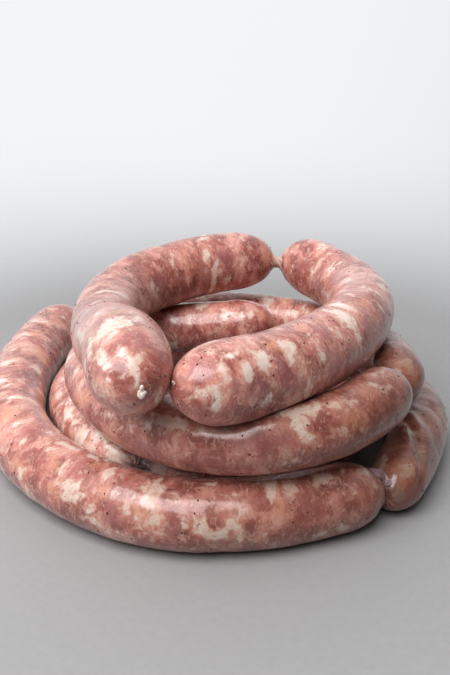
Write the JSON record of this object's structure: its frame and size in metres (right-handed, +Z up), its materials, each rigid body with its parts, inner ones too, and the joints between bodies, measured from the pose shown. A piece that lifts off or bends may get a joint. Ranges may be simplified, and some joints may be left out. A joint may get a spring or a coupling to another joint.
{
  "type": "string of sausage links",
  "caption": "Coiled string of plump raw sausage links in thin natural casing, stacked in tiers and joined by short twists of casing.",
  "frame": {"origin": "middle of the coil's footprint, on the table", "axes": "+Z up, -Y towards the side where the two top links end, +X to the right when they point at the viewer"},
  "size_m": [0.2518, 0.2469, 0.0976],
  "materials": {
    "meat": "moist, coarse-ground raw meat with pale fat, seen through a thin glossy casing",
    "casing": "moist, translucent empty casing, gathered and twisted"
  },
  "bodies": {
    "root": {"outer_front_link": "meat", "outer_right_link": "meat", "inner_left_link": "meat", "inner_front_link": "meat", "middle_front_link": "meat", "middle_right_link": "meat", "top_left_link": "meat", "top_right_link": "meat", "top_twist": "casing", "outer_twist": "casing", "inner_twist": "casing"}
  },
  "joints": []
}
